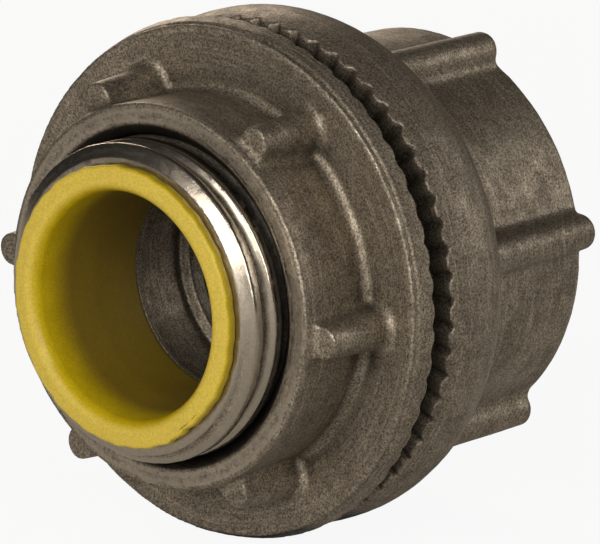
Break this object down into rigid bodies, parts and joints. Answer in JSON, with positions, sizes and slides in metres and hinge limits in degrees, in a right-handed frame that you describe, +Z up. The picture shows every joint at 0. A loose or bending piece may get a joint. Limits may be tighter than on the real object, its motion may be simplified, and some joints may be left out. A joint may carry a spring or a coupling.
{
  "type": "conduit hub fitting",
  "caption": "Threaded conduit hub with a toothed locknut on its nipple, a rubber sealing ring under the flange and an insulated throat.",
  "frame": {"origin": "on the common axis, in the plane of the hub flange's toothed front face, where the enclosure wall is clamped", "axes": "+Y along the axis towards the conduit, -Y out through the nipple and throat, +Z up, +X to the right of the nipple side"},
  "size_m": [0.0344, 0.0303, 0.0344],
  "materials": {
    "cast_zinc": "dull as-cast zinc with worn edges",
    "black_rubber": "matte",
    "yellow_plastic": "satin gloss"
  },
  "bodies": {
    "hub": {"hub_body": "cast_zinc", "throat_liner": "yellow_plastic"},
    "ring": {"sealing_ring": "black_rubber"},
    "locknut": {"locknut": "cast_zinc"}
  },
  "joints": [
    {"name": "locknut_turn", "type": "hinge", "parent": "hub", "child": "ring", "pos_m": [0, 0, 0], "axis": [0, 1, 0], "range_deg": [-1800, 217]},
    {"name": "locknut_travel", "type": "slide", "parent": "ring", "child": "locknut", "axis": [0, 1, 0], "range_m": [-0.0091, 0.0011]}
  ],
  "couplings": [
    {"joint": "locknut_travel", "follows": "locknut_turn", "m_per_rad": 0.00028875}
  ]
}
